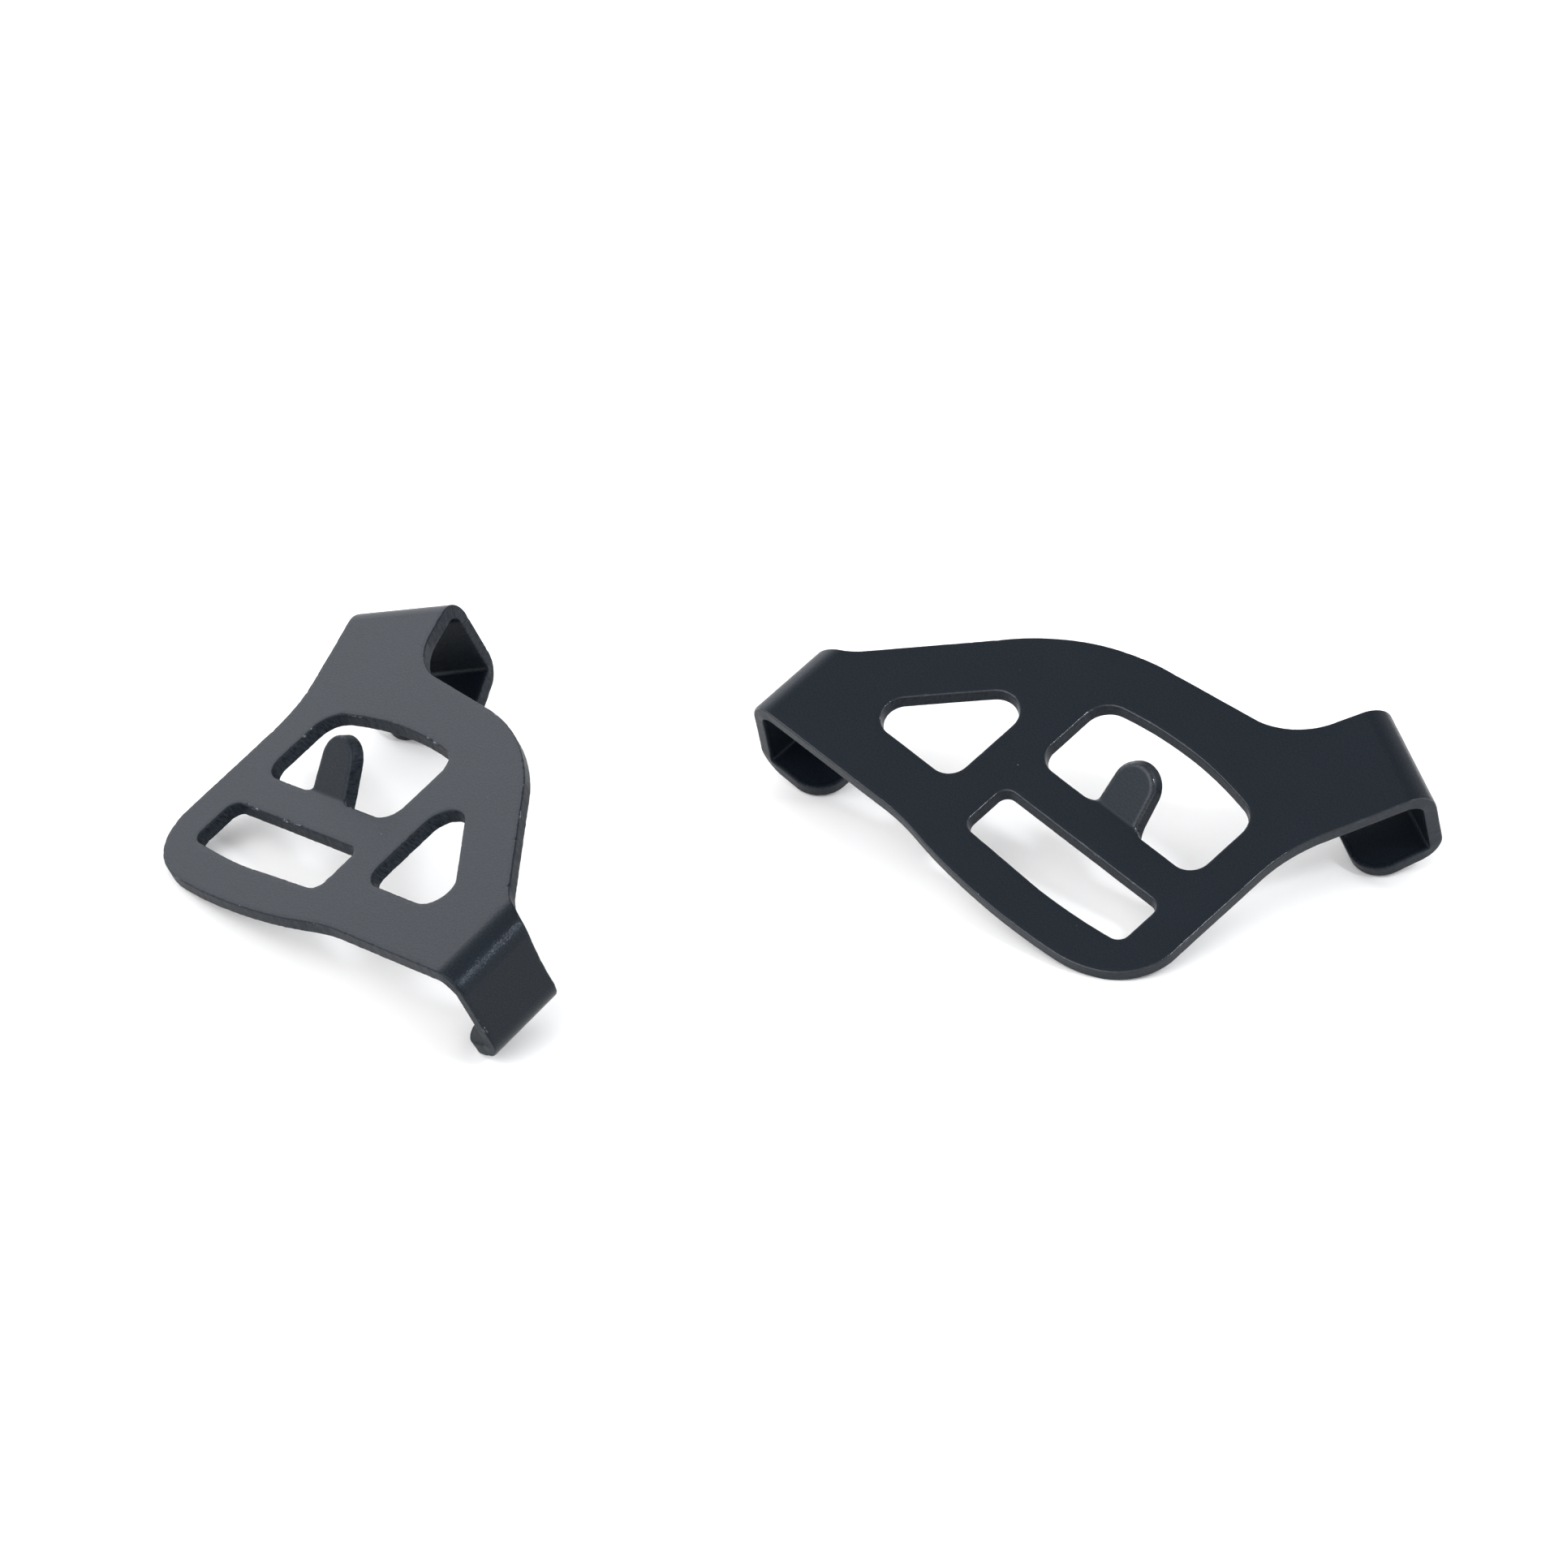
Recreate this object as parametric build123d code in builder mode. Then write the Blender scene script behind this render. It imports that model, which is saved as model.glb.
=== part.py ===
from build123d import *
from math import cos, radians, sin
import os

os.makedirs("parts", exist_ok=True)

# A left and right pair of clip-on guards, each one blank of sheet metal cut, pierced and bent.
# Each guard is drawn in its own frame: the plate's top face is Z = 0 and its underside Z = -SHEET,
# the cross bar runs along X, hook A leaves the plate towards -X and hook B towards +Y.

# ---------------- driving dimensions, mm ----------------
SHEET = 2.0

BEND_RADIUS = 4.0          # outside radius of the bend between plate and hook wall
HEEL_RADIUS = 3.7          # outside radius of the bend between hook wall and lip
HOOK_DEPTH = 15.4          # plate top face to the underside of the heel bend
LIP_TURN = 81.0            # the heel bend stops short of square, so the lip hangs 9 degrees open
LIP_CORNER = 5.1           # rounding of both free corners of a lip

A_REACH = 53.05            # bar centre to the outer face of wall A, along -X
A_NEAR = -16.05            # sides of hook A, along Y
A_FAR = -3.3
A_LIP = 7.9                # flat length of lip A past its bend

B_DIRECTION = 65.5         # heading of hook B in the plate, degrees from +X
B_REACH = 44.3             # frame origin to the outer face of wall B, along that heading
B_NEAR = 12.8              # sides of hook B, measured square to its heading
B_FAR = -3.9
B_LIP = 8.3

LOBE_X = 21.03             # straight right-hand side of the plate
LOBE_Y = -18.5             # lowest point of the lobe's long edge

BAR_TOP = 2.82             # edges of the cross bar
BAR_BOTTOM = -2.92
WINDOW_LEFT = -15.6        # the two windows beside the bar share their sides
WINDOW_RIGHT = 14.48
WINDOW_CROWN = 17.8        # highest point of the tab window
WINDOW_SAG = -12.12        # lowest point of the lobe window

TAB_CENTRE = -0.65         # middle of the tab, along X
TAB_ROOT = 7.5             # width where the tab leaves the bar
TAB_TIP = 7.05             # width at its full round tip
TAB_LENGTH = 9.8           # flat length past the bar's edge
TAB_FLAT = 0.3             # part of that length before the bend starts
TAB_RISE = 40.5            # angle that the tab is bent up
TAB_BEND = 1.0             # inside radius of that bend
TAB_FILLET = 1.9           # relief where the tab's sides meet the bar

REST_TILT = (23.376, -6.581, -45.890)   # how a guard lies on its two lips and the lobe's edge
RIGHT_TURN = -0.21                      # heading of each guard on the table
LEFT_TURN = -95.91
LEFT_FROM_RIGHT = (-109.33, 7.80)       # left guard's frame origin from the right one's


def hook_plane(heading, reach, side):
    """Section plane of a hook: X runs outwards from the bend's start, Y is up."""
    out = Vector(cos(radians(heading)), sin(radians(heading)), 0)
    across = out.cross(Vector(0, 0, 1))
    start = out * (reach - BEND_RADIUS) + across * side
    return Plane(origin=start, x_dir=out, z_dir=across)


def hook_section(lip):
    """Outline of a hook seen along its bends: bend, wall, heel bend, lip and back inside the sheet."""
    root = Line((-1, 0), (0, 0))
    bend = JernArc(root @ 1, root % 1, BEND_RADIUS, -90)
    wall = Line(bend @ 1, (BEND_RADIUS, HEEL_RADIUS - HOOK_DEPTH))
    heel = JernArc(wall @ 1, wall % 1, HEEL_RADIUS, -LIP_TURN)
    under = Line(heel @ 1, (heel @ 1) + (heel % 1) * lip)
    edge = Line(under @ 1, (under @ 1) + (under % 1).rotate(Axis.Z, -90) * SHEET)
    inside = Line(edge @ 1, (edge @ 1) - (under % 1) * lip)
    heel_in = JernArc(inside @ 1, inside % 1, HEEL_RADIUS - SHEET, LIP_TURN)
    wall_in = Line(heel_in @ 1, (BEND_RADIUS - SHEET, -BEND_RADIUS))
    bend_in = JernArc(wall_in @ 1, wall_in % 1, BEND_RADIUS - SHEET, 90)
    root_in = Line(bend_in @ 1, (-1, -SHEET))
    Line(root_in @ 1, root @ 0)


def lip_tip(plane, lip, width):
    """Middle of a lip's free edge, found from the plane that the hook's section is drawn on."""
    turn = radians(LIP_TURN)
    heel_x = BEND_RADIUS - HEEL_RADIUS * (1 - cos(turn))
    heel_y = HEEL_RADIUS - HOOK_DEPTH - HEEL_RADIUS * sin(turn)
    return plane.from_local_coords((heel_x - lip * sin(turn), heel_y - lip * cos(turn), width / 2))


# ---------------- hook A, at the end beside the triangular window ----------------
plane_a = hook_plane(180, A_REACH, A_NEAR)
tip_a = lip_tip(plane_a, A_LIP, A_FAR - A_NEAR)
with BuildPart() as hook_a:
    with BuildSketch(plane_a):
        with BuildLine():
            hook_section(A_LIP)
        make_face()
    extrude(amount=A_FAR - A_NEAR)
    short_a = hook_a.edges().filter_by(lambda e: abs(e.length - SHEET) < 0.01)
    fillet(short_a.sort_by_distance(tip_a)[0:2], radius=LIP_CORNER)

# ---------------- hook B, at the end beside the tab window ----------------
plane_b = hook_plane(B_DIRECTION, B_REACH, B_FAR)
tip_b = lip_tip(plane_b, B_LIP, B_NEAR - B_FAR)
with BuildPart() as hook_b:
    with BuildSketch(plane_b):
        with BuildLine():
            hook_section(B_LIP)
        make_face()
    extrude(amount=B_NEAR - B_FAR)
    short_b = hook_b.edges().filter_by(lambda e: abs(e.length - SHEET) < 0.01)
    fillet(short_b.sort_by_distance(tip_b)[0:2], radius=LIP_CORNER)

# ---------------- tab, bent up out of the bar's edge ----------------
tab_plane = Plane(origin=(TAB_CENTRE - TAB_ROOT, BAR_TOP, 0), x_dir=(0, 1, 0), z_dir=(1, 0, 0))
tab_straight = TAB_LENGTH - TAB_FLAT - radians(TAB_RISE) * (TAB_BEND + SHEET / 2)
rise = radians(TAB_RISE)
tab_foot = (TAB_CENTRE, BAR_TOP + TAB_FLAT + TAB_BEND * sin(rise), TAB_BEND * (1 - cos(rise)))
tab_face = Plane(origin=tab_foot, x_dir=(1, 0, 0), z_dir=(0, -sin(rise), cos(rise)))
bar_line = -(TAB_FLAT * cos(rise) + TAB_BEND * sin(rise))   # the bar's edge seen on the tab's face
with BuildPart() as tab:
    with BuildSketch(tab_plane):
        with BuildLine():
            tab_top = Line((-1, 0), (TAB_FLAT, 0))
            tab_bend = JernArc(tab_top @ 1, tab_top % 1, TAB_BEND, TAB_RISE)
            tab_front = Line(tab_bend @ 1, (tab_bend @ 1) + (tab_bend % 1) * tab_straight)
            tab_edge = Line(tab_front @ 1, (tab_front @ 1) + (tab_front % 1).rotate(Axis.Z, -90) * SHEET)
            tab_back = Line(tab_edge @ 1, (tab_edge @ 1) - (tab_front % 1) * tab_straight)
            tab_under = JernArc(tab_back @ 1, tab_back % 1, TAB_BEND + SHEET, -TAB_RISE)
            tab_root = Line(tab_under @ 1, (-1, -SHEET))
            Line(tab_root @ 1, tab_top @ 0)
        make_face()
    extrude(amount=2 * TAB_ROOT)
    # relief at the root, square to the plate
    with BuildSketch():
        with BuildLine():
            foot = Line((TAB_CENTRE, BAR_TOP - 2), (TAB_CENTRE + TAB_ROOT, BAR_TOP - 2))
            flank = Line(foot @ 1, (TAB_CENTRE + TAB_ROOT, BAR_TOP))
            shelf = Line(flank @ 1, (TAB_CENTRE + TAB_ROOT / 2 + TAB_FILLET, BAR_TOP))
            relief = TangentArc(shelf @ 1, (TAB_CENTRE + TAB_ROOT / 2, BAR_TOP + TAB_FILLET), tangent=(-1, 0))
            clear = Line(relief @ 1, (TAB_CENTRE + TAB_ROOT / 2, BAR_TOP + 2 * TAB_LENGTH))
            Line(clear @ 1, (TAB_CENTRE, BAR_TOP + 2 * TAB_LENGTH))
            mirror(about=Plane.YZ.offset(TAB_CENTRE))
        make_face()
    extrude(amount=2 * TAB_ROOT, both=True, mode=Mode.INTERSECT)
    # slight taper and full round tip, square to the tab's own face
    with BuildSketch(tab_face):
        with BuildLine():
            heel_line = Line((0, -TAB_ROOT), (TAB_ROOT, -TAB_ROOT))
            wide = Line(heel_line @ 1, (TAB_ROOT, bar_line + TAB_FILLET))
            step = Line(wide @ 1, (TAB_ROOT / 2, bar_line + TAB_FILLET))
            side = Line(step @ 1, (TAB_TIP / 2, tab_straight - TAB_TIP / 2))
            crown = TangentArc(side @ 1, (0, tab_straight), tangent=(0, 1))
            mirror(about=Plane.YZ)
        make_face()
    extrude(amount=2 * TAB_ROOT, both=True, mode=Mode.INTERSECT)

# ---------------- one guard: plate, windows, tab and both hooks ----------------
with BuildPart() as guard:
    # plate outline, counter-clockwise from hook A along the lobe to hook B and back
    with BuildSketch(Plane.XY.offset(-SHEET)):
        with BuildLine():
            near = Line((BEND_RADIUS - A_REACH, A_NEAR), (-26.5, A_NEAR))
            ease = TangentArc(near @ 1, (-20, -16.65), tangent=near % 1)
            sag = TangentArc(ease @ 1, (0, LOBE_Y), tangent=ease % 1)
            lobe = TangentArc(sag @ 1, (9, -18.1), tangent=(1, 0))
            knee = TangentArc(lobe @ 1, (15.2, -16.35), tangent=lobe % 1)
            corner = TangentArc(knee @ 1, (LOBE_X, -7.9), tangent=knee % 1)
            right = Line(corner @ 1, (LOBE_X, 9.7))
            neck = TangentArc(right @ 1, (23.3, 20.2), tangent=right % 1)
            near_b = Line(neck @ 1, plane_b.from_local_coords((0, 0, B_NEAR - B_FAR)))
            bend_b = Line(near_b @ 1, plane_b.from_local_coords((0, 0, 0)))
            far_b = Line(bend_b @ 1, plane_b.from_local_coords((-4.1, 0, 0)))
            hollow = TangentArc(far_b @ 1, (3.4, 27.95), tangent=far_b % 1)
            ridge = Line(hollow @ 1, (-12, 25.85))
            shoulder = TangentArc(ridge @ 1, (-33, 14.9), tangent=ridge % 1)
            slope = Line(shoulder @ 1, (-46.8, 0.35))
            over_a = Line(slope @ 1, (BEND_RADIUS - A_REACH, 0.35))
            Line(over_a @ 1, near @ 0)
        make_face()
    extrude(amount=SHEET)

    # triangular window
    with BuildSketch(Plane.XY.offset(-SHEET)) as triangle:
        with BuildLine():
            Polyline((-22.05, -7.4), (-22.05, 13.83), (-42.39, -7.4), close=True)
        make_face()
        fillet(triangle.vertices().sort_by(Axis.Y)[2], radius=3.6)
        fillet(triangle.vertices().group_by(Axis.Y)[0].sort_by(Axis.X)[-1], radius=3.1)
        fillet(triangle.vertices().sort_by(Axis.X)[0], radius=3.4)
    extrude(amount=SHEET, mode=Mode.SUBTRACT)

    # tab window, with a crowned far edge
    with BuildSketch(Plane.XY.offset(-SHEET)) as tab_window:
        with BuildLine():
            base = Line((WINDOW_LEFT, BAR_TOP), (WINDOW_RIGHT, BAR_TOP))
            side_r = Line(base @ 1, (WINDOW_RIGHT, 16.1))
            crowned = ThreePointArc(side_r @ 1, (-0.5, WINDOW_CROWN), (WINDOW_LEFT, 16.4))
            Line(crowned @ 1, base @ 0)
        make_face()
        fillet(tab_window.vertices().group_by(Axis.Y)[0], radius=3.2)
        fillet(tab_window.vertices().sort_by(Axis.Y)[-2:], radius=4.1)
    extrude(amount=SHEET, mode=Mode.SUBTRACT)

    # lobe window, with a sagging near edge
    with BuildSketch(Plane.XY.offset(-SHEET)) as lobe_window:
        with BuildLine():
            head = Line((WINDOW_LEFT, BAR_BOTTOM), (WINDOW_RIGHT, BAR_BOTTOM))
            edge_r = Line(head @ 1, (WINDOW_RIGHT, -11.05))
            sagged = ThreePointArc(edge_r @ 1, (0, WINDOW_SAG), (WINDOW_LEFT, -11.3))
            Line(sagged @ 1, head @ 0)
        make_face()
        fillet(lobe_window.vertices(), radius=1.9)
    extrude(amount=SHEET, mode=Mode.SUBTRACT)

    # the first bend of hook A is wider than its wall where the plate's slope runs into it
    with BuildSketch(hook_plane(180, A_REACH, A_FAR)):
        with BuildLine():
            crest = JernArc((0, 0), (1, 0), BEND_RADIUS, -90)
            mouth = Line(crest @ 1, (BEND_RADIUS - SHEET, -BEND_RADIUS))
            hollow_a = JernArc(mouth @ 1, (0, 1), BEND_RADIUS - SHEET, 90)
            Line(hollow_a @ 1, crest @ 0)
        make_face()
    extrude(amount=0.35 - A_FAR)
    with BuildSketch(Plane.XY.offset(-2 * BEND_RADIUS)):
        with BuildLine():
            blend = ThreePointArc((-A_REACH, A_FAR), (-50.25, -1.85), (-46.8, 0.35))
            above = Line(blend @ 1, (-46.8, 3))
            beyond = Line(above @ 1, (-A_REACH - 2, 3))
            outside = Line(beyond @ 1, (-A_REACH - 2, A_FAR))
            Line(outside @ 1, blend @ 0)
        make_face()
    extrude(amount=3 * BEND_RADIUS, mode=Mode.SUBTRACT)

    add(hook_a.part)
    add(hook_b.part)
    add(tab.part)

# ---------------- the pair, lying on the table ----------------
leaning = Rotation(*REST_TILT) * guard.part
leaning = Pos(0, 0, -leaning.bounding_box().min.Z) * leaning

right_solid = Rotation(0, 0, RIGHT_TURN) * leaning
left_solid = Rotation(0, 0, LEFT_TURN) * mirror(leaning, about=Plane.YZ)
left_solid = Pos(*LEFT_FROM_RIGHT, 0) * left_solid
pair_box = Compound(children=[right_solid, left_solid]).bounding_box()
centring = Pos(-pair_box.center().X, -pair_box.center().Y, 0)

with BuildPart() as right_guard:
    add(centring * right_solid)
right_guard.part.label = "right_guard"
export_step(right_guard.part, "parts/right_guard.step")

with BuildPart() as left_guard:
    add(centring * left_solid)
left_guard.part.label = "left_guard"
export_step(left_guard.part, "parts/left_guard.step")
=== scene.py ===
from math import atan2, ceil, cos, hypot, pi, radians, sin, tan

import bpy
import numpy as np
from mathutils import Matrix, Vector, noise
from mathutils.geometry import delaunay_2d_cdt


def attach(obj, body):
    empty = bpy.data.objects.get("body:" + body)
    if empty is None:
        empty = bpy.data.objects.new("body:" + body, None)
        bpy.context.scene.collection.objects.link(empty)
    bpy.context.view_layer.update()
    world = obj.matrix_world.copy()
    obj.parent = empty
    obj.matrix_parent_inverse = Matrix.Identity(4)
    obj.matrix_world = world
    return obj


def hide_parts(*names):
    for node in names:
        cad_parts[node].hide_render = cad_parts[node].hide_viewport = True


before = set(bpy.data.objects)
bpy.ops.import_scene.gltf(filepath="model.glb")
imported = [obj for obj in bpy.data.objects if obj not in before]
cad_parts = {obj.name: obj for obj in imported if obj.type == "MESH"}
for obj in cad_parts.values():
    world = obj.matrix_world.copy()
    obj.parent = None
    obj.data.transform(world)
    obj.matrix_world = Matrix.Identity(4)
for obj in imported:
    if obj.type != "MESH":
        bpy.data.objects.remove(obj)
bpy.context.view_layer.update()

# A left and right pair of clip-on guards. Each one is a single blank of sheet metal, drawn flat in
# millimetres with X along its bar, then bent: z = 0 is the top face and z = -SHEET the underside.

MM = 0.001

# ---------------- driving dimensions, mm and degrees ----------------
SHEET = 2.0
B_HEADING = 65.5             # direction in which hook B leaves the plate
BAR_BOTTOM = -2.92           # near edge of the cross bar
WINDOW_LEFT = -15.6          # the two windows beside the bar share their sides
WINDOW_RIGHT = 14.48
HEEL_PINCH = 0.65            # how far the inside of a heel closes to a sharp crease

REST_TILT = (23.376, -6.581, -45.890)      # how a guard lies on its two lips and the lobe's edge
REST_HEIGHT = 10.8061                      # drawing's origin above the table


class Hook:
    """One hook as it came off the press: first bend, wall, heel bend and lip.

    start: distance from the drawing's origin to the first bend line. near, far: the hook's sides.
    turn, lip_turn: degrees bent at the plate and at the heel. wall, lip: flat lengths past the bends.
    bend, heel: outside radii of the bends. corner: rounding of the lip's corners. skew: slope of the
    first bend line across the hook.
    """

    def __init__(self, start, near, far, turn, wall, heel, lip_turn, lip, bend=4.0, corner=5.1, skew=0.0):
        self.start, self.near, self.far = start, near, far
        self.middle, self.skew = (near + far) / 2, skew
        self.turn, self.lip_turn = radians(turn), radians(lip_turn)
        self.bend, self.heel = bend, heel
        self.wall, self.lip, self.corner = wall, lip, corner
        self.bend_run = (bend - SHEET / 2) * self.turn
        self.heel_run = (heel - SHEET / 2) * self.lip_turn
        self.heel_start = self.bend_run + wall
        self.lip_start = self.heel_start + self.heel_run
        self.end = start + self.lip_start + lip


class Tab:
    """The tab, sheared out of its window and bent up.

    bar_top: edge of the bar that it leaves. root, tip: its widths. length: flat length past that edge,
    of which flat comes before the bend. rise: degrees bent up. bend: inside radius. fillet: relief at
    each side of the root. roll: extra rounding of its arris by a thick coat.
    """

    def __init__(self, bar_top, centre, root, tip, length, flat, rise, bend, fillet, roll):
        self.bar_top, self.centre = bar_top, centre
        self.root, self.tip, self.length, self.fillet = root, tip, length, fillet
        self.start, self.rise, self.bend = bar_top + flat, radians(rise), bend
        self.run = (bend + SHEET / 2) * self.rise
        self.roll = roll

    def holds(self, x, y):
        return (abs(x - self.centre) < 6) & (y > self.start) & (y < self.bar_top + self.length + 1)


class Guard:
    """One guard: its bends, how worn its edges are, and how it lies on the table.

    worn: 0 where the cut edges are smooth and 1 where they are torn and chipped. seed: start of its
    edges' noise. heading: degrees turned on the table. origin: where its drawing's origin stands.
    """

    def __init__(self, hook_a, hook_b, tab, worn, seed, heading, origin, mirrored):
        self.hook_a, self.hook_b, self.tab = hook_a, hook_b, tab
        self.worn, self.seed = worn, seed
        self.heading, self.origin, self.mirrored = heading, origin, mirrored

    def directions(self):
        """Directions of the drawing's X, Y and Z on the table, as rows."""
        turned = Matrix.Rotation(radians(self.heading), 3, "Z")
        if self.mirrored:
            turned = turned @ Matrix.Diagonal((-1, 1, 1))
        for angle, axis in zip(REST_TILT, "XYZ"):
            turned = turned @ Matrix.Rotation(radians(angle), 3, axis)
        return np.array(turned).T


# No two hooks or tabs were bent quite alike.
GUARDS = {
    "right_guard": Guard(
        hook_a=Hook(start=49.14, near=-16.15, far=-3.2, turn=90.7, wall=7.7, heel=3.7,
                    lip_turn=86.0, lip=8.1, bend=4.1, corner=4.8),
        hook_b=Hook(start=40.47, near=12.65, far=-3.9, turn=87.0, wall=7.45, heel=3.75,
                    lip_turn=85.0, lip=8.9, bend=4.1, corner=4.9),
        tab=Tab(bar_top=3.05, centre=-0.66, root=7.36, tip=6.93, length=9.5, flat=0.35,
                rise=39.5, bend=0.8, fillet=2.0, roll=0.55),
        worn=0.35, seed=3.0, heading=-0.21, origin=(41.5063, -5.7673), mirrored=False,
    ),
    "left_guard": Guard(
        hook_a=Hook(start=49.0, near=-16.2, far=-3.28, turn=90.0, wall=8.1, heel=3.5,
                    lip_turn=78.8, lip=7.1, skew=0.03),
        hook_b=Hook(start=40.75, near=12.85, far=-3.8, turn=89.5, wall=7.55, heel=3.7,
                    lip_turn=78.5, lip=8.7),
        tab=Tab(bar_top=2.92, centre=-0.64, root=7.7, tip=7.15, length=9.85, flat=0.1,
                rise=41.8, bend=1.0, fillet=1.7, roll=0.25),
        worn=1.0, seed=61.0, heading=-95.91, origin=(-67.8237, 2.0327), mirrored=True,
    ),
}


# ---------------- drawing the flat blank ----------------
ARC_STEP = 0.1       # spacing of points along an arc as it is drawn
STEP = 0.26          # spacing of points along every cut edge of the mesh


class Outline:
    """A closed outline, drawn with straight lines and arcs that carry on from the heading before."""

    def __init__(self, x, y, heading=0.0):
        self.points = [(x, y)]
        self.heading = heading

    def line(self, x, y):
        x0, y0 = self.points[-1]
        self.heading = atan2(y - y0, x - x0)
        self.points.append((x, y))
        return self

    def arc(self, x, y):
        x0, y0 = self.points[-1]
        turn = atan2(y - y0, x - x0) - self.heading
        turn = (turn + pi) % (2 * pi) - pi
        if abs(turn) < 1e-5:
            return self.line(x, y)
        radius = hypot(x - x0, y - y0) / (2 * sin(turn))
        start = self.heading
        count = max(2, ceil(abs(2 * turn * radius) / ARC_STEP))
        for i in range(1, count + 1):
            now = start + 2 * turn * i / count
            on_arc = (x0 + radius * (sin(now) - sin(start)), y0 - radius * (cos(now) - cos(start)))
            self.points.append(on_arc)
        self.heading = start + 2 * turn
        return self

    def corner(self, x, y, into, out, radius):
        """Rounded corner whose sides would meet at (x, y). The headings in and out are in degrees."""
        into, out = radians(into), radians(out)
        turn = (out - into + pi) % (2 * pi) - pi
        reach = radius * tan(abs(turn) / 2)
        self.arc(x - reach * cos(into), y - reach * sin(into))
        self.heading = into
        return self.arc(x + reach * cos(out), y + reach * sin(out))

    def even(self, step):
        """The outline as evenly spaced points."""
        p = np.array(self.points + self.points[:1])
        run = np.concatenate([[0], np.cumsum(np.hypot(*np.diff(p, axis=0).T))])
        at = np.linspace(0, run[-1], max(8, round(run[-1] / step)) + 1)[:-1]
        return np.column_stack([np.interp(at, run, p[:, 0]), np.interp(at, run, p[:, 1])])


# Directions along hook B and square to it.
B_OUT = (cos(radians(B_HEADING)), sin(radians(B_HEADING)))
B_SIDE = (B_OUT[1], -B_OUT[0])


def on_b(out, side):
    """Point at one distance from the drawing's origin along hook B's direction and another square to it."""
    return (B_OUT[0] * out + B_SIDE[0] * side, B_OUT[1] * out + B_SIDE[1] * side)


def blank_outline(hook_a, hook_b):
    """Outer edge, counter-clockwise from lip A along the lobe to hook B and back."""
    pen = Outline(-hook_a.end, (hook_a.near + hook_a.far) / 2, radians(270))
    pen.corner(-hook_a.end, hook_a.near, 270, 0, hook_a.corner).line(-49, hook_a.near).line(-26.5, -16.05)
    pen.arc(-20, -16.65).arc(0, -18.5)
    pen.heading = 0
    pen.arc(9, -18.1).arc(15.2, -16.35).arc(21.03, -7.9).line(21.03, 9.7).arc(23.3, 20.2)
    pen.line(*on_b(40, hook_b.near))
    pen.corner(*on_b(hook_b.end, hook_b.near), B_HEADING, B_HEADING + 90, hook_b.corner)
    pen.corner(*on_b(hook_b.end, hook_b.far), B_HEADING + 90, B_HEADING + 180, hook_b.corner)
    pen.line(*on_b(36.2, hook_b.far))
    pen.arc(3.4, 27.95).line(-12, 25.85).arc(-33, 14.9).line(-46.8, 0.35).arc(-53.76, hook_a.far)
    return pen.corner(-hook_a.end, hook_a.far, 180, 270, hook_a.corner)


def triangle_outline():
    """The three-cornered window beside hook A."""
    bottom, right, top, slope = -7.4, -22.05, 13.83, 226.2
    pen = Outline(-32, bottom)
    pen.corner(right, bottom, 0, 90, 3.1)
    pen.corner(right, top, 90, slope, 3.6)
    return pen.corner(-42.39, bottom, slope, 0, 3.4)


def tab_outline(tab):
    """The window with the crowned far edge. The tab stands in it, still flat."""
    left, right = tab.centre - tab.root / 2, tab.centre + tab.root / 2
    shoulder = tab.bar_top + tab.length - tab.tip / 2
    pen = Outline(-9, tab.bar_top)
    pen.corner(left, tab.bar_top, 0, 90, tab.fillet).line(tab.centre - tab.tip / 2, shoulder)
    pen.arc(tab.centre + tab.tip / 2, shoulder)
    pen.corner(right, tab.bar_top, 270, 0, tab.fillet)
    pen.corner(WINDOW_RIGHT, tab.bar_top, 0, 90, 3.2).corner(WINDOW_RIGHT, 16.1, 90, 167.5, 4.1)
    return pen.corner(WINDOW_LEFT, 16.4, 191.3, 270, 4.1).corner(WINDOW_LEFT, tab.bar_top, 270, 0, 3.2)


def lobe_outline():
    """The long window in the lobe, with a sagging near edge."""
    pen = Outline(0, -12.12)
    pen.corner(WINDOW_RIGHT, -11.05, 7.7, 90, 1.9).corner(WINDOW_RIGHT, BAR_BOTTOM, 90, 180, 1.9)
    return pen.corner(WINDOW_LEFT, BAR_BOTTOM, 180, 270, 1.9).corner(WINDOW_LEFT, -11.3, 270, 353.2, 1.9)


# ---------------- bending the blank ----------------
def hook_bend(run, z, hook):
    """Carries a distance past a hook's first bend line to (outwards, up) and the face's direction there."""
    first = np.clip(run / (hook.bend - SHEET / 2), 0, hook.turn)
    along = np.clip(run - hook.bend_run, 0, hook.wall)
    second = np.clip((run - hook.heel_start) / (hook.heel - SHEET / 2), 0, hook.lip_turn)
    past = np.maximum(run - hook.lip_start, 0)
    face_turn = first + second
    # The heel's inside is pinched to a crease, where the sheet is thinnest.
    deep = HEEL_PINCH * (z / -SHEET) ** 3
    pinched = (hook.heel - SHEET) * (1 / np.cos(np.minimum(second, hook.lip_turn - second)) - 1)
    heel = hook.heel + z + deep * pinched
    creased = first + hook.lip_turn * np.clip(3 * second / hook.lip_turn - 1, 0, 1)
    shown = np.where(z <= -SHEET, creased, face_turn)
    out = (hook.bend + z) * np.sin(first) + along * cos(hook.turn)
    up = -hook.bend + (hook.bend + z) * np.cos(first) - along * sin(hook.turn)
    out += heel * np.sin(face_turn) - (hook.heel + z) * np.sin(first) + past * np.cos(face_turn)
    up += heel * np.cos(face_turn) - (hook.heel + z) * np.cos(first) - past * np.sin(face_turn)
    flat = run <= 0
    out[flat], up[flat] = run[flat], z[flat]
    return out, up, np.sin(shown), np.cos(shown)


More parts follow.
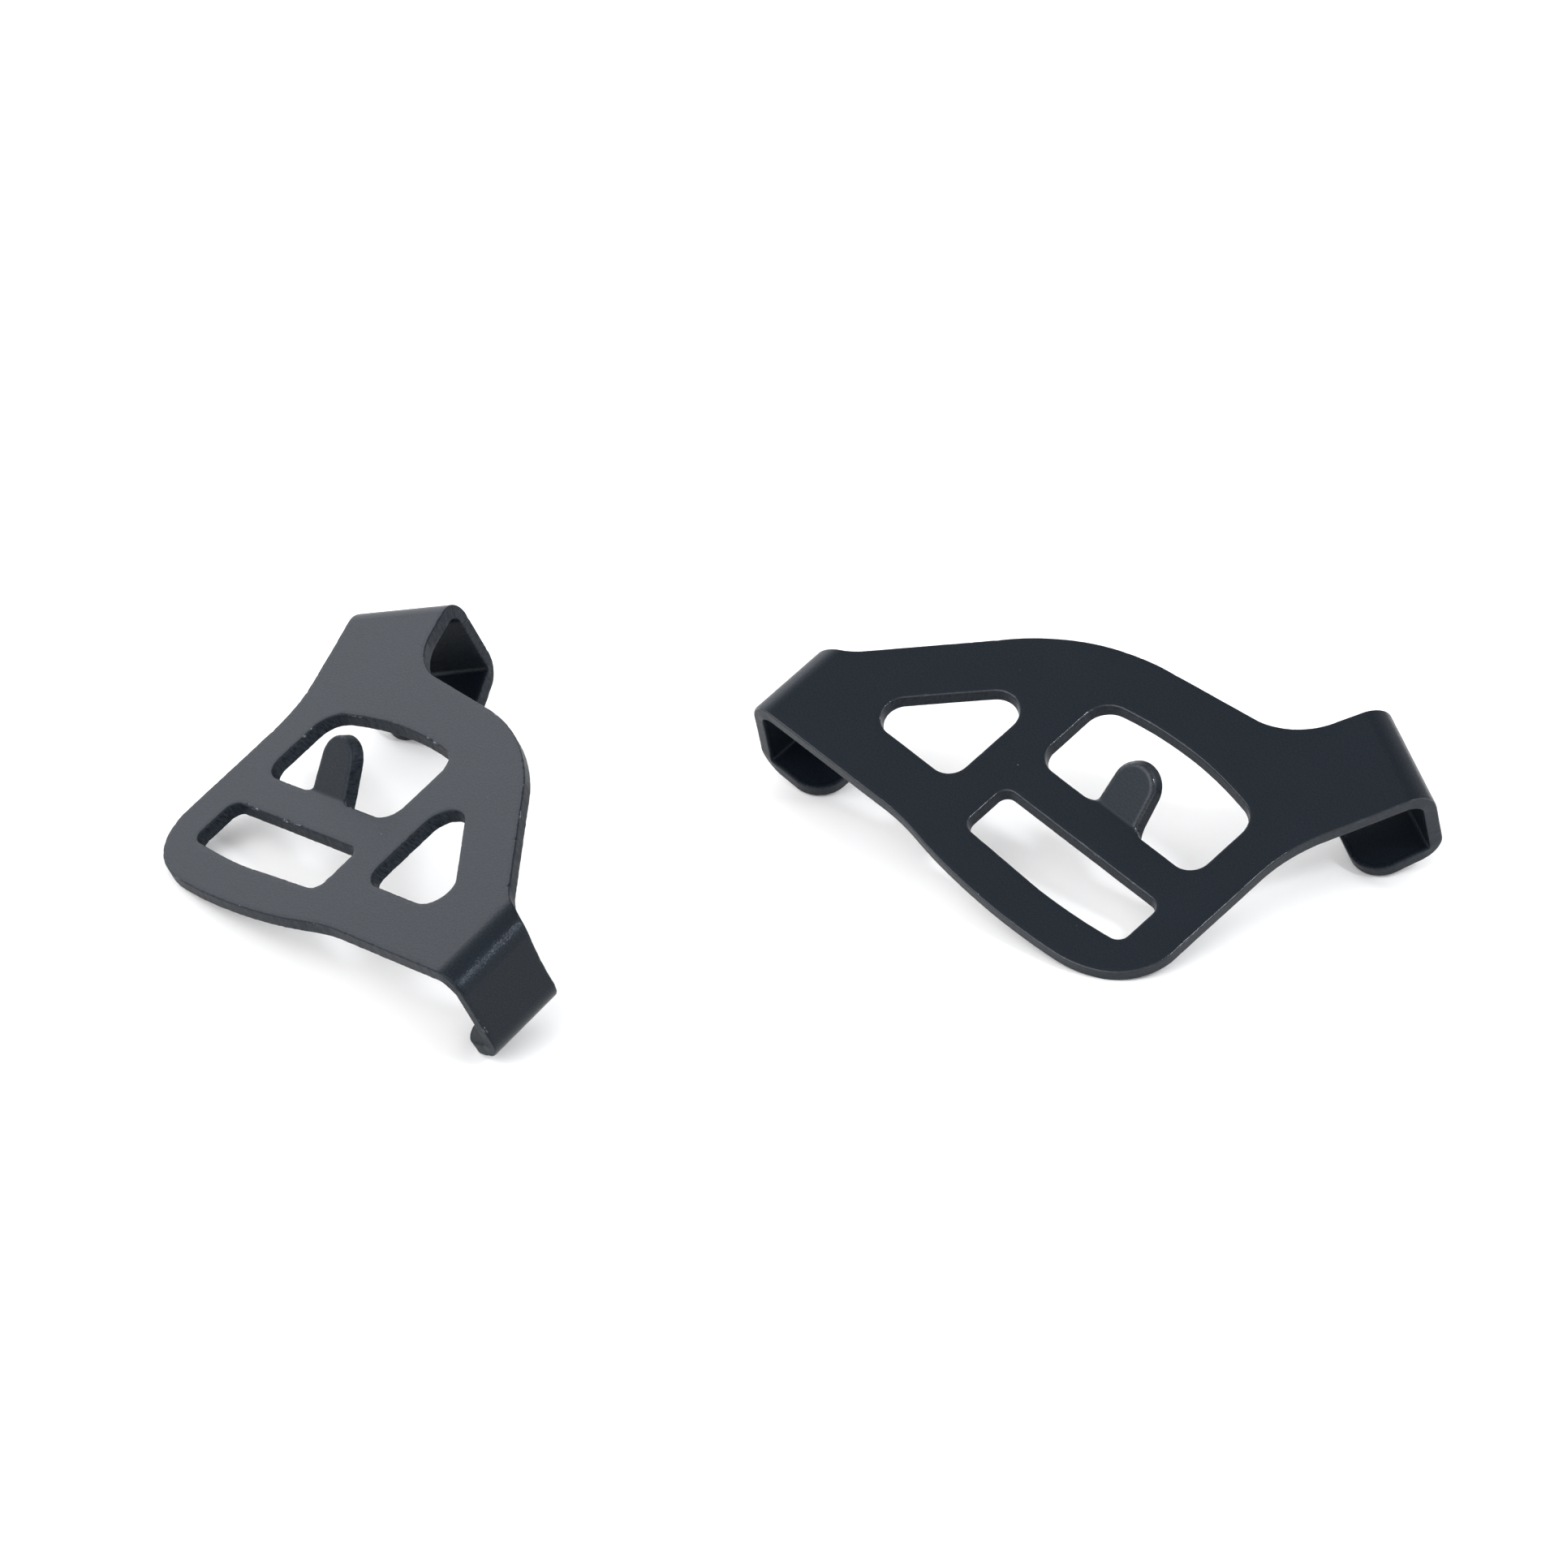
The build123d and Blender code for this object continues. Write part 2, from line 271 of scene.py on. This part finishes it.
def bent(flat, guard):
    """Bends points (x, y, z) of the flat blank. Gives their places and the top face's direction at each."""
    hook_a, hook_b, tab = guard.hook_a, guard.hook_b, guard.tab
    x, y, z = flat[:, 0], flat[:, 1], flat[:, 2]
    place = flat.copy()
    face = np.tile([0.0, 0.0, 1.0], (len(flat), 1))

    start_a = hook_a.start - hook_a.skew * (y - hook_a.middle)
    hooked = -x > start_a
    out, up, face_out, face_up = hook_bend(-x - start_a, z, hook_a)
    place[hooked] = np.column_stack([-start_a - out, y, up])[hooked]
    face[hooked] = np.column_stack([-face_out, hook_a.skew * face_out, face_up])[hooked]

    past_b = x * B_OUT[0] + y * B_OUT[1] - hook_b.start
    side = x * B_SIDE[0] + y * B_SIDE[1]
    hooked = past_b > 0
    out, up, face_out, face_up = hook_bend(past_b, z, hook_b)
    spot_x, spot_y = on_b(hook_b.start + out, side)
    place[hooked] = np.column_stack([spot_x, spot_y, up])[hooked]
    face[hooked] = np.column_stack([face_out * B_OUT[0], face_out * B_OUT[1], face_up])[hooked]

    past = np.maximum(y - tab.start - tab.run, 0)
    turn = np.clip((y - tab.start) / (tab.bend + SHEET / 2), 0, tab.rise)
    spot_y = tab.start + (tab.bend - z) * np.sin(turn) + past * np.cos(turn)
    spot_z = tab.bend - (tab.bend - z) * np.cos(turn) + past * np.sin(turn)
    raised = tab.holds(x, y)
    place[raised] = np.column_stack([x, spot_y, spot_z])[raised]
    face[raised] = np.column_stack([0 * x, -np.sin(turn), np.cos(turn)])[raised]
    return place, face


def bend_strain(x, y, hook_a, hook_b):
    """0 on flat stretches and 1 in the middle of a hook's bends, where the cut edge is squeezed."""
    strain = np.zeros_like(x)
    past_b = x * B_OUT[0] + y * B_OUT[1] - hook_b.start
    for hook, run in ((hook_a, -x - hook_a.start), (hook_b, past_b)):
        first = np.sin(np.clip(run / hook.bend_run, 0, 1) * pi)
        heel = np.sin(np.clip((run - hook.heel_start) / hook.heel_run, 0, 1) * pi)
        strain = np.maximum(strain, np.maximum(first, heel))
    return strain


# ---------------- the cut edge ----------------
RIM = 0.95           # width of the band beside an edge that holds its rounding
TOP_IN, TOP_DOWN = 0.21, 0.19        # rounding of the top arris, across the face and down the edge
LOW_IN, LOW_UP = 0.15, 0.16          # rounding of the lower arris
TOP_ROWS, LOW_ROWS = 6, 5            # rows of points round each arris
WINDOW_LEAN = 0.28   # how far a window's wall leans in towards the underside
WALL_ROLL = 0.2      # extra rounding of the top arris down hook A's wall


def ripple(points, scale, seed):
    """Smooth noise from -1 to 1 at each point; scale is its cell size in mm."""
    return np.array([noise.noise(Vector((p[0] / scale, p[1] / scale, seed))) for p in points])


def thick_coat(loop, guard):
    """Extra rounding of the top arris along an edge: on the tab and down hook A's wall."""
    out_a = -loop[:, 0] - guard.hook_a.start
    on_wall = (out_a > 2) * (out_a < guard.hook_a.heel_start)
    rolled = guard.tab.roll * guard.tab.holds(loop[:, 0], loop[:, 1]) + WALL_ROLL * on_wall
    for _ in range(6):
        rolled = (rolled + np.roll(rolled, 1) + np.roll(rolled, -1)) / 3
    return rolled


def edge_rows(loop, hole, seed, guard):
    """Rows of flat points round a cut edge, from the top face over both arrises to the underside.

    The arris is nicked and the edge is wavy where the guard is worn, and squeezed at the bends.
    """
    tangent = np.roll(loop, -2, axis=0) - np.roll(loop, 2, axis=0)
    tangent /= np.hypot(*tangent.T)[:, None]
    inward = np.column_stack([-tangent[:, 1], tangent[:, 0]]) * (-1 if hole else 1)
    worn, rolled = guard.worn, thick_coat(loop, guard)
    strain = bend_strain(loop[:, 0], loop[:, 1], guard.hook_a, guard.hook_b)
    # Each ripple has a seed of its own, so that no two of them rise together.
    wave = 0.03 * ripple(loop, 5.0, seed) + 0.03 * worn * ripple(loop, 1.1, seed + 7)
    nick = worn * np.maximum(ripple(loop, 0.8, seed + 13) - 0.22, 0) * 0.6
    top_in = TOP_IN + 0.08 * worn * ripple(loop, 1.4, seed + 21) + rolled + nick
    top_down = TOP_DOWN + 0.06 * worn * ripple(loop, 1.1, seed + 29) + 0.8 * rolled + 0.5 * nick
    low_in = LOW_IN + 0.12 * worn * ripple(loop, 0.7, seed + 37)
    low_up = LOW_UP + 0.12 * worn * ripple(loop, 0.9, seed + 43)
    lean = WINDOW_LEAN if hole else 0.0

    rows = [(np.full(len(loop), RIM), np.zeros(len(loop)))]
    for i in range(TOP_ROWS):
        turn = i / (TOP_ROWS - 1) * pi / 2
        rows.append((top_in * (1 - sin(turn)), -top_down * (1 - cos(turn))))
    for share in (0.25, 0.5, 0.75):
        depth = top_down + (SHEET - top_down - low_up) * share
        rough = 0.03 * worn * ripple(loop + share * 40, 0.55, seed + 51)
        rows.append((rough + 0.01, -depth))
    for i in range(LOW_ROWS):
        turn = i / (LOW_ROWS - 1) * pi / 2
        rows.append((low_in * (1 - cos(turn)), -(SHEET - low_up) - low_up * sin(turn)))
    rows.append((np.full(len(loop), RIM), np.full(len(loop), -SHEET)))

    made = []
    for inset, z in rows:
        squeeze = strain * (0.07 + 0.10 * z)
        held = 1 - inset / RIM
        offset = inset + (squeeze - wave + lean * z / SHEET) * held
        made.append(np.column_stack([loop + inward * offset[:, None], z]))
    return made


# ---------------- the wide faces ----------------
PLATE_SPACING, HOOK_SPACING, TAB_SPACING = 1.7, 1.25, 0.9      # between the points spread over each
EDGE_GAP = 0.3                                                 # nearest that one comes to an edge


def inside(points, loop):
    """True for each point that lies inside a closed outline."""
    x, y = points[:, 0], points[:, 1]
    found = np.zeros(len(points), bool)
    for (x0, y0), (x1, y1) in zip(loop, np.roll(loop, -1, axis=0)):
        crosses = (y0 > y) != (y1 > y)
        if crosses.any():
            found ^= crosses & (x < x0 + (y - y0) * (x1 - x0) / (y1 - y0 if y1 != y0 else 1e-12))
    return found


def on_sheet(points, loops):
    """True for each point inside the outer loop and outside every hole."""
    keep = inside(points, loops[0])
    for hole in loops[1:]:
        keep &= ~inside(points, hole)
    return keep


def grid(xs, ys):
    """Every pair of an x and a y."""
    a, b = np.meshgrid(xs, ys)
    return np.column_stack([a.ravel(), b.ravel()])


def hook_lines(hook):
    """Distances past the origin at which a hook gets a row of points, close together in its bends."""
    runs = [np.linspace(0, hook.bend_run, 15), hook.bend_run + np.linspace(0, hook.wall, 7)[1:]]
    runs.append(hook.heel_start + np.linspace(0, hook.heel_run, 13)[1:])
    runs.append(hook.lip_start + np.linspace(0, hook.lip, 7)[1:])
    return hook.start + np.concatenate(runs)


def face_points(hook_a, hook_b, tab):
    """Points spread over the blank, inside its edges: coarse on the plate, in rows across every bend."""
    columns = np.arange(1 - hook_a.start, 45, PLATE_SPACING)
    plate = grid(columns, np.arange(-19, 44, PLATE_SPACING))
    past_b = plate[:, 0] * B_OUT[0] + plate[:, 1] * B_OUT[1] - hook_b.start
    window = (plate[:, 0] > WINDOW_LEFT) & (plate[:, 0] < WINDOW_RIGHT)
    window &= (plate[:, 1] > tab.bar_top) & (plate[:, 1] < 18)
    plate = plate[(past_b < -1) & ~window]
    rows_a = grid(-hook_lines(hook_a), np.arange(hook_a.near + 0.6, 0.5, HOOK_SPACING))
    rows_b = grid(hook_lines(hook_b), np.arange(hook_b.far + 0.6, hook_b.near, HOOK_SPACING))
    rows_b = np.array([on_b(*p) for p in rows_b])
    runs = np.concatenate([np.linspace(0, tab.run, 10), np.arange(tab.run + 0.8, 9, TAB_SPACING)])
    rows_tab = grid(tab.centre + np.linspace(-3.4, 3.4, 9), tab.start + runs)
    return np.vstack([plate, rows_a, rows_b, rows_tab])


def fill(loops, guard):
    """Triangles over the sheet between its edges, and the points used besides the loops' own."""
    points = face_points(guard.hook_a, guard.hook_b, guard.tab)
    points = points[on_sheet(points, loops)]
    edges = np.vstack(loops)
    gap = np.array([np.hypot(*(edges - p).T).min() for p in points])
    points = points[gap > EDGE_GAP]
    given = np.vstack([edges, points])
    sides, first = [], 0
    for loop in loops:
        sides += [(first + i, first + (i + 1) % len(loop)) for i in range(len(loop))]
        first += len(loop)
    _, _, faces, origin, *_ = delaunay_2d_cdt([Vector(p) for p in given], sides, [], 0, 1e-5)
    source = [o[0] if o else -1 for o in origin]
    triangles = np.array([[source[i] for i in f] for f in faces])
    triangles = triangles[on_sheet(given[triangles].mean(axis=1), loops)]
    a, b, c = given[triangles[:, 0]], given[triangles[:, 1]], given[triangles[:, 2]]
    turn = (b[:, 0] - a[:, 0]) * (c[:, 1] - a[:, 1]) - (b[:, 1] - a[:, 1]) * (c[:, 0] - a[:, 0])
    triangles[turn < 0] = triangles[turn < 0][:, ::-1]
    return points, triangles


# ---------------- one guard as a mesh ----------------
def edge_strips(loops, guard):
    """Strips of quads round every cut edge.

    Gives the flat points, each point's (run along its edge, depth, share of the edge), the quads, and
    each strip's (first point, points round, rows).
    """
    flat, cut, quads, strips = [], [], [], []
    first = 0
    for k, loop in enumerate(loops):
        rows = edge_rows(loop, k > 0, guard.seed + 100 * k, guard)
        round_count, row_count = len(loop), len(rows)
        # Each edge's run starts far from the others', so that no two edges get the same marks.
        run = np.arange(round_count) * STEP + 1000 * k
        for j, row in enumerate(rows):
            share = 0.0 if j == row_count - 1 else min(max(j - 1, 0) / (TOP_ROWS - 1), 1.0)
            flat.append(row)
            cut.append(np.column_stack([run, row[:, 2], np.full(round_count, share)]))
        i = np.arange(round_count)
        after = (i + 1) % round_count
        for j in range(row_count - 1):
            a, b = first + j * round_count, first + (j + 1) * round_count
            quad = np.column_stack([a + i, b + i, b + after, a + after])
            quads.append(quad if k == 0 else quad[:, ::-1])
        strips.append((first, round_count, row_count))
        first += round_count * row_count
    return np.vstack(flat), np.vstack(cut), np.vstack(quads), strips


def guard_mesh(name):
    """The whole guard, bent and in its place, with the attributes that its coat reads."""
    guard = GUARDS[name]
    outlines = [blank_outline(guard.hook_a, guard.hook_b), tab_outline(guard.tab)]
    outlines += [triangle_outline(), lobe_outline()]
    flat, cut, quads, strips = edge_strips([outline.even(STEP) for outline in outlines], guard)

    rims = [flat[first:first + count, :2] for first, count, _ in strips]
    extra, triangles = fill(rims, guard)
    spare = len(flat) + np.arange(len(extra))
    top = np.concatenate([first + np.arange(n) for first, n, _ in strips] + [spare])
    low = [first + (rows - 1) * n + np.arange(n) for first, n, rows in strips]
    low = np.concatenate(low + [spare + len(extra)])
    for z in (0.0, -SHEET):
        depth = np.full(len(extra), z)
        flat = np.vstack([flat, np.column_stack([extra, depth])])
        cut = np.vstack([cut, np.column_stack([0 * depth, depth, 0 * depth])])

    place, face = bent(flat, guard)
    directions = guard.directions()
    world = (place @ directions + np.array([*guard.origin, REST_HEIGHT])) * MM
    normal = face @ directions

    faces = quads.tolist() + top[triangles].tolist() + low[triangles][:, ::-1].tolist()
    if guard.mirrored:
        faces = [f[::-1] for f in faces]
    mesh = bpy.data.meshes.new(name + "_coated")
    mesh.from_pydata(world.tolist(), [], faces)
    mesh.polygons.foreach_set("use_smooth", [True] * len(mesh.polygons))
    mesh.update()

    # The wide faces are shaded as true planes and cylinders.
    smooth = np.zeros(len(world) * 3, np.float32)
    mesh.vertex_normals.foreach_get("vector", smooth)
    smooth = smooth.reshape(-1, 3)
    smooth[top] = normal[top]
    smooth[low] = -normal[low]
    mesh.normals_split_custom_set_from_vertices(smooth.tolist())

    worn = np.full((len(world), 3), guard.worn)
    for label, values in (("blank", flat), ("cut", cut), ("worn", worn)):
        attribute = mesh.attributes.new(label, "FLOAT_VECTOR", "POINT")
        attribute.data.foreach_set("vector", values.astype(np.float32).ravel())
    return mesh


# ---------------- materials ----------------
class Nodes:
    """Short calls for building one material's nodes."""

    def __init__(self, name):
        self.material = bpy.data.materials.new(name)
        self.material.use_nodes = True
        self.tree = self.material.node_tree
        self.shader = self.tree.nodes["Principled BSDF"]

    def add(self, kind, settings=(), **inputs):
        """A new node. An input named _0, _1 and so on is found by its number."""
        node = self.tree.nodes.new(kind)
        for key, value in dict(settings).items():
            setattr(node, key, value)
        for key, value in inputs.items():
            self.put(value, node.inputs[int(key[1:]) if key[0] == "_" else key])
        return node

    def put(self, value, socket):
        if isinstance(value, bpy.types.NodeSocket):
            self.tree.links.new(value, socket)
        else:
            socket.default_value = value

    def attribute(self, name):
        return self.add("ShaderNodeAttribute", {"attribute_name": name}).outputs["Vector"]

    def split(self, vector):
        return self.add("ShaderNodeSeparateXYZ", _0=vector).outputs

    def point(self, x, y):
        return self.add("ShaderNodeCombineXYZ", _0=x, _1=y).outputs[0]

    def noise(self, vector, scale, detail, rough):
        node = self.add("ShaderNodeTexNoise", Vector=vector, Scale=scale, Detail=detail, Roughness=rough)
        return node.outputs["Fac"]

    def math(self, operation, a, b, clamp=False):
        node = self.add("ShaderNodeMath", {"operation": operation, "use_clamp": clamp}, _0=a, _1=b)
        return node.outputs[0]

    def times(self, a, b):
        return self.math("MULTIPLY", a, b)

    def remap(self, value, low, high, to_low=0.0, to_high=1.0):
        limits = {"_1": low, "_2": high, "_3": to_low, "_4": to_high}
        return self.add("ShaderNodeMapRange", {"clamp": True}, _0=value, **limits).outputs[0]

    def mix(self, factor, a, b):
        """Mix of two plain values."""
        return self.add("ShaderNodeMix", {"data_type": "FLOAT"}, _0=factor, _2=a, _3=b).outputs[0]

    def tint(self, factor, a, b):
        """Mix of two colours."""
        return self.add("ShaderNodeMix", {"data_type": "RGBA"}, _0=factor, _6=a, _7=b).outputs[2]

    def bump(self, distance, height):
        return self.add("ShaderNodeBump", Strength=1.0, Distance=distance, Height=height).outputs[0]


FACE_DARK, FACE_LIGHT = (0.0034, 0.0048, 0.0074, 1), (0.0050, 0.0070, 0.0102, 1)
SIDE_DARK, SIDE_LIGHT = (0.0040, 0.0052, 0.0072, 1), (0.0140, 0.0172, 0.0220, 1)
# Bare metal at specks and chips; along the chipped arris its light colour is also a painted glint.
BARE_METAL_AND_GLINT = (0.36, 0.38, 0.40, 1)
SHINE_TINT = (0.72, 0.885, 1.0, 1)
SKIN_DEPTH, PEBBLE_DEPTH = 0.000016, 0.0001        # metres


class Surface:
    """What the coat reads from a guard's mesh, and the noises that its parts share."""

    def __init__(self, n):
        self.blank = n.attribute("blank")
        self.run, self.depth, self.share = n.split(n.attribute("cut"))
        self.worn = n.split(n.attribute("worn"))[0]
        self.edge = n.remap(self.share, 0.4, 1.0)
        self.grain = n.noise(self.blank, 2.5, 2.0, 0.5)
        self.fine = n.noise(self.blank, 5.0, 2.0, 0.6)
        slant = n.math("ADD", self.run, n.times(self.depth, 0.35))
        self.lines = n.noise(n.point(slant, n.times(self.depth, 0.3)), 3.2, 3.0, 0.65)


def bare_spots_and_glints(n, surface):
    """Where the metal shows: a few specks on the faces, and chips along the worn arrises. The chips' light
    colour is also a painted glint off the rough arris.
    """
    cells = n.add("ShaderNodeTexVoronoi", {"feature": "F1"}, Vector=surface.blank, Scale=0.36, Randomness=1.0)
    dot = n.math("LESS_THAN", cells.outputs["Distance"], 0.022)
    picked = n.math("GREATER_THAN", n.split(cells.outputs["Color"])[0], 0.80)
    speck = n.times(dot, picked)

    arris = n.times(n.math("GREATER_THAN", surface.depth, -0.3), n.math("GREATER_THAN", surface.share, 0.1))
    stretch = n.remap(n.noise(surface.blank, 0.13, 1.0, 0.5), 0.58, 0.64)
    flake = n.noise(n.point(n.times(surface.run, 0.8), n.times(surface.depth, 3.0)), 1.0, 3.0, 0.7)
    # Chips on the worn top arris: bare metal, and also a painted glint where the rough arris catches the
    # light.
    flaked_and_glinting = n.times(n.times(stretch, n.remap(flake, 0.52, 0.66)), surface.worn)
    return n.math("MAXIMUM", n.times(speck, 0.45), n.times(n.times(flaked_and_glinting, arris), 0.5))


def coat_colour(n, surface):
    """Near black with a blue cast. The cut edges are lighter along their lines."""
    cloud = n.noise(surface.blank, 0.09, 2.0, 0.5)
    blend = n.math("ADD", n.times(surface.fine, 0.7), n.times(cloud, 0.3))
    face = n.tint(n.remap(blend, 0.35, 0.65), FACE_DARK, FACE_LIGHT)
    side = n.tint(n.remap(surface.lines, 0.35, 0.68), SIDE_DARK, SIDE_LIGHT)
    return n.tint(bare_spots_and_glints(n, surface), n.tint(surface.edge, face, side), BARE_METAL_AND_GLINT)


def thick_beads(n, surface):
    """Above 0 on the arrises of a guard whose coat is whole, where the powder ran thick and glossy."""
    on_arris = n.times(surface.share, n.math("SUBTRACT", 1.0, surface.share))
    return n.times(on_arris, n.math("SUBTRACT", 1.0, surface.worn))


def powder_coat():
    """Black satin powder coat, fine grained on the faces, with lines across the cut edges."""
    n = Nodes("black_powder_coat")
    surface = Surface(n)
    n.put(coat_colour(n, surface), n.shader.inputs["Base Color"])
    face_rough = n.remap(surface.fine, 0.3, 0.7, 0.34, 0.42)
    side_rough = n.remap(surface.lines, 0.3, 0.7, 0.40, 0.58)
    n.put(n.mix(surface.edge, face_rough, side_rough), n.shader.inputs["Roughness"])

    thick = thick_beads(n, surface)
    face_shine = n.remap(surface.fine, 0.3, 0.7, 0.078, 0.130)
    side_shine = n.mix(surface.worn, 0.15, n.remap(surface.lines, 0.32, 0.68, 0.055, 0.145))
    shine = n.times(n.mix(surface.edge, face_shine, side_shine), n.remap(thick, 0.0, 0.16, 1.0, 0.4))
    n.put(shine, n.shader.inputs["Specular IOR Level"])
    n.shader.inputs["Specular Tint"].default_value = SHINE_TINT

    torn = n.remap(n.times(surface.edge, surface.worn), 0.0, 1.0, 1.0, 0.3)
    gloss = n.times(n.remap(surface.fine, 0.35, 0.65, 0.14, 0.22), torn)
    n.put(n.math("ADD", gloss, n.times(thick, 4.0), True), n.shader.inputs["Coat Weight"])
    n.put(n.remap(thick, 0.0, 0.16, 0.20, 0.06), n.shader.inputs["Coat Roughness"])

    across = n.times(n.times(surface.lines, surface.edge), n.times(surface.worn, 0.9))
    n.put(n.bump(SKIN_DEPTH, n.math("ADD", surface.fine, across)), n.shader.inputs["Normal"])
    pebbles = n.times(surface.grain, n.remap(surface.worn, 0.0, 1.0, 0.2, 1.0))
    n.put(n.bump(PEBBLE_DEPTH, pebbles), n.shader.inputs["Coat Normal"])
    return n.material


def floor_paint():
    """Plain matt paint, very slightly warm."""
    n = Nodes("pale_floor")
    n.shader.inputs["Base Color"].default_value = (0.955, 0.93, 0.885, 1)
    n.shader.inputs["Roughness"].default_value = 0.7
    n.shader.inputs["Specular IOR Level"].default_value = 0.2
    return n.material


# ---------------- the pair ----------------
coat = powder_coat()
for body, nodes in (("root", "right_guard"), ("left_guard", "left_guard")):
    shell = bpy.data.objects.new(nodes + "_sheet", guard_mesh(nodes))
    bpy.context.scene.collection.objects.link(shell)
    shell.data.materials.append(coat)
    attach(shell, body)
    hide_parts(nodes)

# ---------------- floor ----------------
FLOOR_HALF = 3.0                     # half of its side, metres
corners = [(x * FLOOR_HALF, y * FLOOR_HALF, 0) for x, y in ((-1, -1), (1, -1), (1, 1), (-1, 1))]
floor_mesh = bpy.data.meshes.new("floor")
floor_mesh.from_pydata(corners, [], [(0, 1, 2, 3)])
floor = bpy.data.objects.new("floor", floor_mesh)
bpy.context.scene.collection.objects.link(floor)
floor.data.materials.append(floor_paint())


# ---------------- light ----------------
def area_light(name, direction, distance, width, height, watts, colour):
    """A rectangular soft light that faces the pair from the given direction."""
    data = bpy.data.lights.new(name, "AREA")
    data.shape = "RECTANGLE"
    data.size, data.size_y = width, height
    data.energy = watts
    data.color = colour
    lamp = bpy.data.objects.new(name, data)
    away = Vector(direction).normalized()
    lamp.location = away * distance
    lamp.rotation_mode = "QUATERNION"
    lamp.rotation_quaternion = away.to_track_quat("Z", "Y")
    bpy.context.scene.collection.objects.link(lamp)


area_light("front_right_lamp", (0.52, -0.446, 0.727), 1.3, 0.18, 0.18, 4.8, (0.93, 0.98, 1.06))

# The room is brightest in a band just above the horizon, and dark overhead.
ROOM_TINT = (0.965, 0.992, 1.048, 1)
ROOM_LEVEL, ROOM_HEIGHT, ROOM_SPREAD = 0.64, 0.3, 0.25

# Soft glows on its walls: azimuth from the back (+Y) towards the right (+X), elevation, spread, strength.
GLOWS = [
    (330, 28, 18, 2.55),
    (235, 36, 26, 3.85),
    (90, 30, 24, 2.1),
    (0, 85, 24, 0.3),
]


def heading(azimuth, elevation):
    """Unit direction for an azimuth and an elevation in degrees."""
    a, e = radians(azimuth), radians(elevation)
    return (sin(a) * cos(e), cos(a) * cos(e), sin(e))


def studio_world():
    """The room and its glows, as light from all round."""
    world = bpy.data.worlds.new("studio")
    world.use_nodes = True
    tree = world.node_tree

    def node(kind, operation, *inputs):
        made = tree.nodes.new(kind)
        made.operation = operation
        for i, value in enumerate(inputs):
            if isinstance(value, bpy.types.NodeSocket):
                tree.links.new(value, made.inputs[i])
            else:
                made.inputs[i].default_value = value
        return made

    def math(operation, *inputs):
        return node("ShaderNodeMath", operation, *inputs).outputs[0]

    where = tree.nodes.new("ShaderNodeTexCoord").outputs["Generated"]
    direction = node("ShaderNodeVectorMath", "NORMALIZE", where).outputs[0]
    up = tree.nodes.new("ShaderNodeSeparateXYZ")
    tree.links.new(direction, up.inputs[0])
    above = math("SUBTRACT", up.outputs[2], ROOM_HEIGHT)
    fade = math("MULTIPLY", math("MULTIPLY", above, above), -0.5 / ROOM_SPREAD ** 2)
    total = math("MULTIPLY", math("EXPONENT", fade), ROOM_LEVEL)
    for azimuth, elevation, spread, strength in GLOWS:
        toward = tuple(Vector(heading(azimuth, elevation)).normalized())
        near = node("ShaderNodeVectorMath", "DOT_PRODUCT", direction, toward).outputs["Value"]
        sharp = 1 / radians(spread) ** 2
        fall = math("EXPONENT", math("MULTIPLY_ADD", near, sharp, -sharp))
        total = math("ADD", total, math("MULTIPLY", fall, strength))
    tree.links.new(total, tree.nodes["Background"].inputs[1])
    tree.nodes["Background"].inputs[0].default_value = ROOM_TINT
    bpy.context.scene.world = world


studio_world()
bpy.context.scene.view_settings.view_transform = "Standard"

# ---------------- camera ----------------
CAMERA_PLACE = (-2.04, -884.21, 570.47)       # mm
CAMERA_DIP, CAMERA_ROLL = 0.56035, -0.0079    # radians below the horizon, and about its own axis
CAMERA_LENS, SENSOR_WIDTH = 173.97, 36        # mm

camera_data = bpy.data.cameras.new("camera")
camera_data.lens = CAMERA_LENS
camera_data.sensor_width = SENSOR_WIDTH
camera_data.clip_end = 20
camera = bpy.data.objects.new("camera", camera_data)
ahead = Vector((0, cos(CAMERA_DIP), -sin(CAMERA_DIP)))
level, down = Vector((1, 0, 0)), Vector((0, -sin(CAMERA_DIP), -cos(CAMERA_DIP)))
across = level * cos(CAMERA_ROLL) - down * sin(CAMERA_ROLL)
down = level * sin(CAMERA_ROLL) + down * cos(CAMERA_ROLL)
turn = Matrix((across, -down, -ahead)).transposed().to_4x4()
camera.matrix_world = Matrix.Translation(Vector(CAMERA_PLACE) * MM) @ turn
bpy.context.scene.collection.objects.link(camera)
bpy.context.scene.camera = camera
